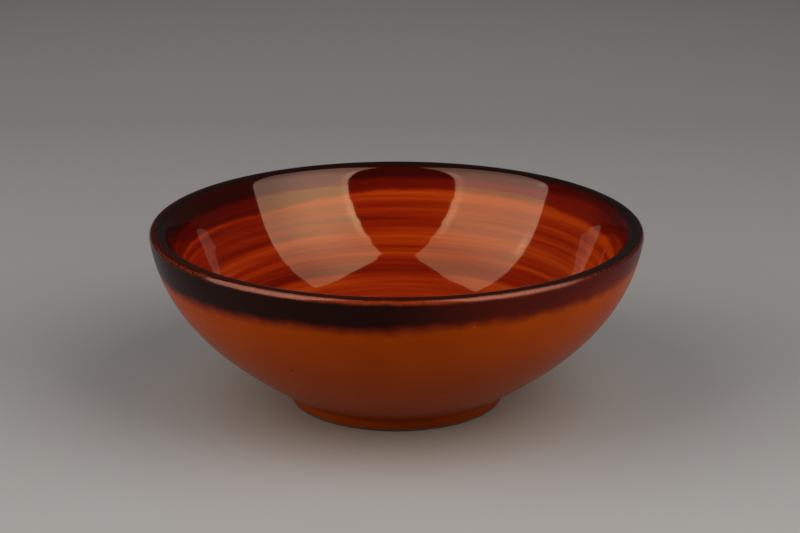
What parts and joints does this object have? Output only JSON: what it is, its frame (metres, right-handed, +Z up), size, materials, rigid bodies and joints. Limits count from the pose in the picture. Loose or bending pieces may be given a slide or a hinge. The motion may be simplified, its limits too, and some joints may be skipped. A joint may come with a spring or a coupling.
{
  "type": "salad bowl",
  "caption": "Round stoneware salad bowl with flared sides, a rounded lip and a turned foot ring, glazed inside and out.",
  "frame": {"origin": "centre of the plane that the foot ring stands on", "axes": "+Z up along the bowl's axis, out of its mouth; +X and +Y level, any way round"},
  "size_m": [0.195, 0.195, 0.072],
  "materials": {
    "stoneware": "bare fired clay, matt, wiped clean on the standing face",
    "inner_glaze": "clear gloss over brushed red-brown and orange streaks that run round the bowl",
    "rim_glaze": "near-black brown gloss that breaks to amber on the edge of the lip",
    "outer_glaze": "orange-brown satin with faint throwing rings"
  },
  "bodies": {
    "root": {"clay_body": "stoneware", "inner_glaze": "inner_glaze", "rim_glaze": "rim_glaze", "outer_glaze": "outer_glaze", "base_glaze": "outer_glaze"}
  },
  "joints": []
}
